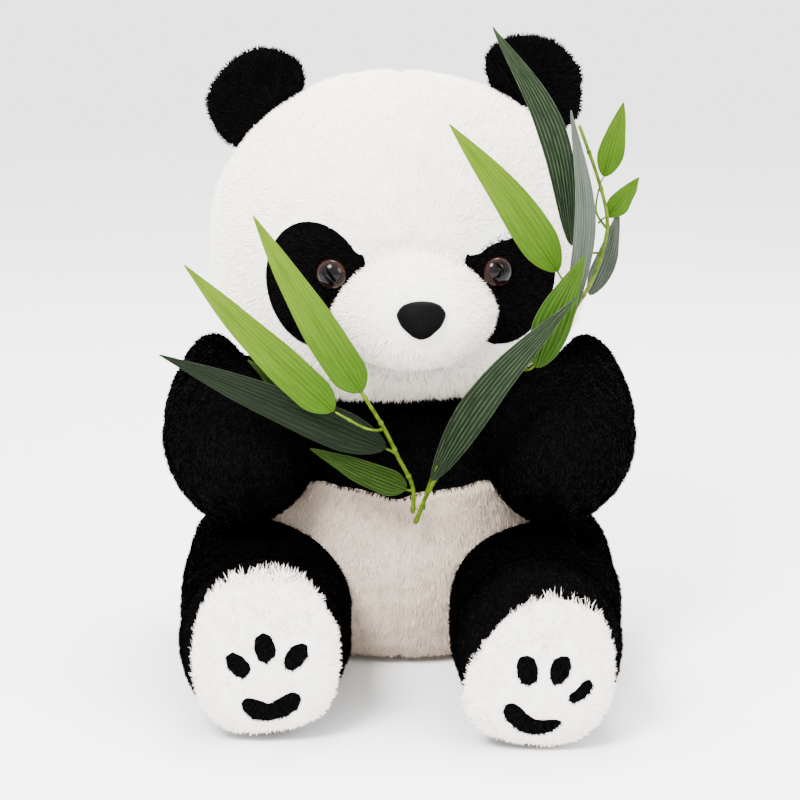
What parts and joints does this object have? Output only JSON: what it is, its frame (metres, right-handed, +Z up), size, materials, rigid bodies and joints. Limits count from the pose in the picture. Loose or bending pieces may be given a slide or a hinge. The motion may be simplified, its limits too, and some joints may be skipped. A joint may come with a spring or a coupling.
{
  "type": "plush panda",
  "caption": "Sitting plush panda with black ears, arms and legs, white paw soles and a spray of artificial bamboo.",
  "frame": {"origin": "on the floor, at the middle of the flat seat panel, under the neck joint", "axes": "-Z out of the seat panel, +Z up, -Y the way the panda faces, +X the panda's own left"},
  "size_m": [0.3128, 0.375, 0.4148],
  "materials": {
    "white_pile": "matte",
    "black_pile": "matte",
    "black_felt": "matte",
    "fibre_filling": "matte",
    "eye_plastic": "gloss",
    "washer_plastic": "satin",
    "stem_plastic": "satin",
    "leaf_dark": "satin",
    "leaf_mid": "satin",
    "leaf_light": "satin",
    "leaf_grey": "satin"
  },
  "bodies": {
    "torso": {"belly_skin": "white_pile", "yoke_skin": "black_pile", "seat_panel": "white_pile", "body_filling": "fibre_filling"},
    "neck": {"neck_filling": "fibre_filling"},
    "head": {"head_skin": "white_pile", "head_filling": "fibre_filling", "muzzle_skin": "white_pile", "muzzle_filling": "fibre_filling", "nose": "black_felt", "eye_patch_left": "black_pile", "eye_patch_right": "black_pile", "eye_left": "eye_plastic", "eye_right": "eye_plastic", "eye_washer_left": "washer_plastic", "eye_washer_right": "washer_plastic"},
    "ear_left": {"ear_left": "black_pile"},
    "ear_right": {"ear_right": "black_pile"},
    "arm_left": {"arm_skin_left": "black_pile", "arm_filling_left": "fibre_filling"},
    "arm_right": {"arm_skin_right": "black_pile", "arm_filling_right": "fibre_filling"},
    "leg_left": {"leg_skin_left": "black_pile", "leg_filling_left": "fibre_filling", "sole_left": "white_pile", "toe_pad_inner_left": "black_felt", "toe_pad_middle_left": "black_felt", "toe_pad_outer_left": "black_felt", "heel_pad_left": "black_felt"},
    "leg_right": {"leg_skin_right": "black_pile", "leg_filling_right": "fibre_filling", "sole_right": "white_pile", "toe_pad_inner_right": "black_felt", "toe_pad_middle_right": "black_felt", "toe_pad_outer_right": "black_felt", "heel_pad_right": "black_felt"},
    "bamboo_short": {"stem_short": "stem_plastic", "twig_short": "stem_plastic", "leaf_a": "leaf_light", "leaf_b": "leaf_light", "leaf_c": "leaf_dark", "leaf_d": "leaf_light", "leaf_e": "leaf_mid"},
    "bamboo_long": {"stem_long": "stem_plastic", "leaf_f": "leaf_dark", "leaf_g": "leaf_dark", "leaf_h": "leaf_light", "leaf_i": "leaf_grey", "leaf_j": "leaf_mid", "leaf_k": "leaf_grey", "leaf_l": "leaf_light", "leaf_m": "leaf_light"}
  },
  "joints": [
    {"name": "head_nod", "type": "hinge", "parent": "torso", "child": "neck", "pos_m": [0, 0, 0.165], "axis": [1, 0, 0], "range_deg": [-5, 6], "stiffness_Nm_per_rad": 6},
    {"name": "head_turn", "type": "hinge", "parent": "neck", "child": "head", "pos_m": [0, 0, 0.165], "axis": [0, 0, 1], "range_deg": [-18, 18], "stiffness_Nm_per_rad": 0.6},
    {"name": "ear_left_fold", "type": "hinge", "parent": "head", "child": "ear_left", "pos_m": [0.07986, 0.002, 0.36118], "axis": [0.7593, 0, -0.6508], "range_deg": [-20, 25], "stiffness_Nm_per_rad": 0.06},
    {"name": "ear_right_fold", "type": "hinge", "parent": "head", "child": "ear_right", "pos_m": [-0.08814, 0.002, 0.35523], "axis": [0.7034, 0, 0.7108], "range_deg": [-20, 25], "stiffness_Nm_per_rad": 0.06},
    {"name": "arm_left_open", "type": "hinge", "parent": "torso", "child": "arm_left", "pos_m": [0.1085, 0, 0.16], "axis": [0, 0, 1], "range_deg": [0, 30], "stiffness_Nm_per_rad": 0.25},
    {"name": "arm_right_open", "type": "hinge", "parent": "torso", "child": "arm_right", "pos_m": [-0.1085, 0, 0.16], "axis": [0, 0, -1], "range_deg": [0, 30], "stiffness_Nm_per_rad": 0.25},
    {"name": "leg_left_splay", "type": "hinge", "parent": "torso", "child": "leg_left", "pos_m": [0.082, -0.018, 0.048], "axis": [0, 0, 1], "range_deg": [0, 25], "stiffness_Nm_per_rad": 0.4},
    {"name": "leg_right_splay", "type": "hinge", "parent": "torso", "child": "leg_right", "pos_m": [-0.082, -0.018, 0.048], "axis": [0, 0, -1], "range_deg": [0, 25], "stiffness_Nm_per_rad": 0.4},
    {"name": "bamboo_short_lean", "type": "hinge", "parent": "torso", "child": "bamboo_short", "pos_m": [0.008, -0.124, 0.106], "axis": [1, 0, 0], "range_deg": [0, 18], "stiffness_Nm_per_rad": 0.08, "springref_deg": -2.86},
    {"name": "bamboo_long_lean", "type": "hinge", "parent": "torso", "child": "bamboo_long", "pos_m": [0.0125, -0.124, 0.108], "axis": [1, 0, 0], "range_deg": [0, 18], "stiffness_Nm_per_rad": 0.15, "springref_deg": -2.86}
  ]
}
